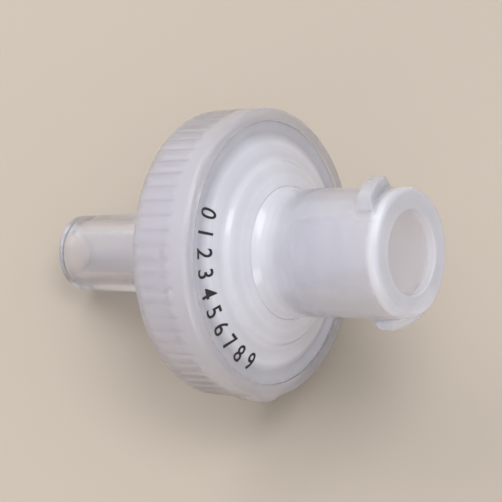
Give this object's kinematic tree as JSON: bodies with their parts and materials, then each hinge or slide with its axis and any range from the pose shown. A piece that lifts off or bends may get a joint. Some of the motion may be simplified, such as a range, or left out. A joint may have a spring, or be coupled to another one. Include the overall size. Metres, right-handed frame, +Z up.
{
  "type": "syringe filter",
  "caption": "Small disposable syringe filter: a grooved round housing with a membrane inside, a female luer-lock inlet hub and a tapered male luer outlet.",
  "frame": {"origin": "on the bench surface, under the middle of the filter as it lies", "axes": "+Z up; the filter lies on the back corner of its ring and on its outlet tip, and the flow axis rises towards +X at about 30 degrees, with the inlet mouth at the high end"},
  "size_m": [0.021, 0.015, 0.0153],
  "materials": {
    "housing": "translucent natural polypropylene, smooth moulded surface",
    "ring": "translucent natural polypropylene, slightly milky, with fine grip grooves",
    "membrane": "white microporous film",
    "print": "near-black pad-printed numerals on the inlet face"
  },
  "bodies": {
    "root": {"inlet_housing": "housing", "outlet_housing": "housing", "sealing_ring": "ring", "membrane": "membrane"}
  },
  "joints": []
}
